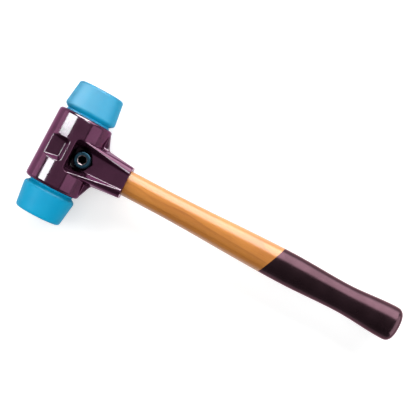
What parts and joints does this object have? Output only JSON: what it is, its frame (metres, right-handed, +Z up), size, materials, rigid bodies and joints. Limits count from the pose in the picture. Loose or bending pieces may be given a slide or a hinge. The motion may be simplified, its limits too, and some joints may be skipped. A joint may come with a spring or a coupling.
{
  "type": "soft face hammer",
  "caption": "Soft face hammer: a split cast head clamped by a socket screw over two push-in soft faces, on an oval wooden handle with a lacquered butt.",
  "frame": {"origin": "middle of the bounding box at the bottom of the barrel, as the hammer lies on its back with the screw head up", "axes": "+X along the handle towards the butt, +Y along the face axis towards the upper face, +Z up along the clamp screw towards its head"},
  "size_m": [0.3095, 0.1082, 0.0447],
  "materials": {
    "enamel": "glossy aubergine enamel over cast iron",
    "soft_face": "satin blue elastomer",
    "steel": "dark bluish plated steel",
    "lock_ring": "white nylon",
    "wood": "clear-varnished honey wood, butt dipped in aubergine lacquer"
  },
  "bodies": {
    "head_and_handle": {"rear_housing_half": "enamel", "handle": "wood", "lock_nut": "steel", "nut_ring": "lock_ring"},
    "front_half": {"front_housing_half": "enamel"},
    "screw": {"clamp_screw": "steel"},
    "upper_face": {"upper_face": "soft_face"},
    "lower_face": {"lower_face": "soft_face"}
  },
  "joints": [
    {"name": "clamp_lift", "type": "slide", "parent": "head_and_handle", "child": "front_half", "axis": [0, 0, 1], "range_m": [0, 0.0025]},
    {"name": "screw_turn", "type": "hinge", "parent": "front_half", "child": "screw", "pos_m": [-0.11865, 0, 0.03125], "axis": [0, 0, 1], "range_deg": [0, 720]},
    {"name": "upper_face_pull", "type": "slide", "parent": "head_and_handle", "child": "upper_face", "axis": [0, 1, 0], "range_m": [0, 0.02]},
    {"name": "lower_face_pull", "type": "slide", "parent": "head_and_handle", "child": "lower_face", "axis": [0, -1, 0], "range_m": [0, 0.02]}
  ],
  "couplings": [
    {"joint": "screw_turn", "follows": "clamp_lift", "rad_per_m": 5026.5}
  ]
}
